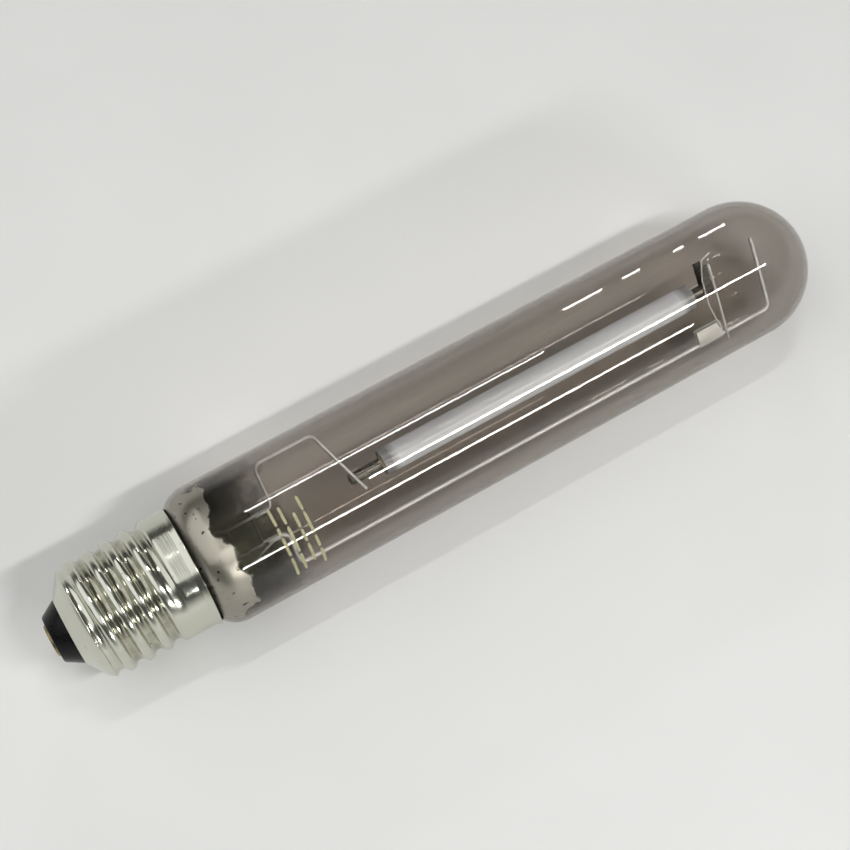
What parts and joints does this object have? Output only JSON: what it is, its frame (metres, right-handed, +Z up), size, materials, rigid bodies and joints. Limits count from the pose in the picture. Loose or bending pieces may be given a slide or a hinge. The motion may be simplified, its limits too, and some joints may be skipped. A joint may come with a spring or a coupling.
{
  "type": "high pressure sodium lamp",
  "caption": "Tubular clear-glass discharge lamp: a milky ceramic arc tube on a wire frame inside a domed bulb, with a large screw cap at one end.",
  "frame": {"origin": "middle of the centre contact's outer face, on the lamp axis", "axes": "+X along the lamp axis from the centre contact to the dome, +Z up with the lamp lying as in the picture"},
  "size_m": [0.276, 0.0465, 0.0464],
  "materials": {
    "clear_glass": "clear blown hard glass",
    "nickel_plate": "bright nickel plate on drawn brass sheet",
    "black_glass": "opaque black moulded glass, glossy",
    "contact_brass": "pressed brass, lightly worn",
    "solder": "dull tin solder",
    "alumina": "milky translucent sintered alumina",
    "niobium": "dull grey drawn niobium",
    "sealing_glass": "opaque cream sealing glass",
    "tungsten": "dark grey sintered tungsten",
    "amalgam": "bright solid amalgam",
    "bright_wire": "bright drawn nickel-iron wire",
    "getter_steel": "pressed steel strip, bright",
    "copper_lead": "bare copper wire",
    "cement": "baked tan basing cement"
  },
  "bodies": {
    "root": {"outer_bulb": "clear_glass", "stem": "clear_glass", "exhaust_tube": "clear_glass", "cap_shell": "nickel_plate", "cap_insulator": "black_glass", "centre_contact": "contact_brass", "contact_solder": "solder", "side_solder": "solder", "arc_tube": "alumina", "end_plug_base": "alumina", "end_plug_dome": "alumina", "niobium_tube_base": "niobium", "niobium_tube_dome": "niobium", "niobium_strap": "niobium", "frit_seal_base": "sealing_glass", "frit_seal_dome": "sealing_glass", "electrode_rod_base": "tungsten", "electrode_rod_dome": "tungsten", "electrode_coil_base": "tungsten", "electrode_coil_dome": "tungsten", "amalgam_pellet": "amalgam", "seal_wire_frame": "bright_wire", "seal_wire_support": "bright_wire", "frame_rod": "bright_wire", "support_wire": "bright_wire", "cross_wire": "bright_wire", "flexible_lead": "bright_wire", "getter_post": "bright_wire", "getter_strip": "getter_steel", "getter_ring": "getter_steel", "outer_lead_centre": "copper_lead", "outer_lead_side": "copper_lead", "basing_cement": "cement"}
  },
  "joints": []
}
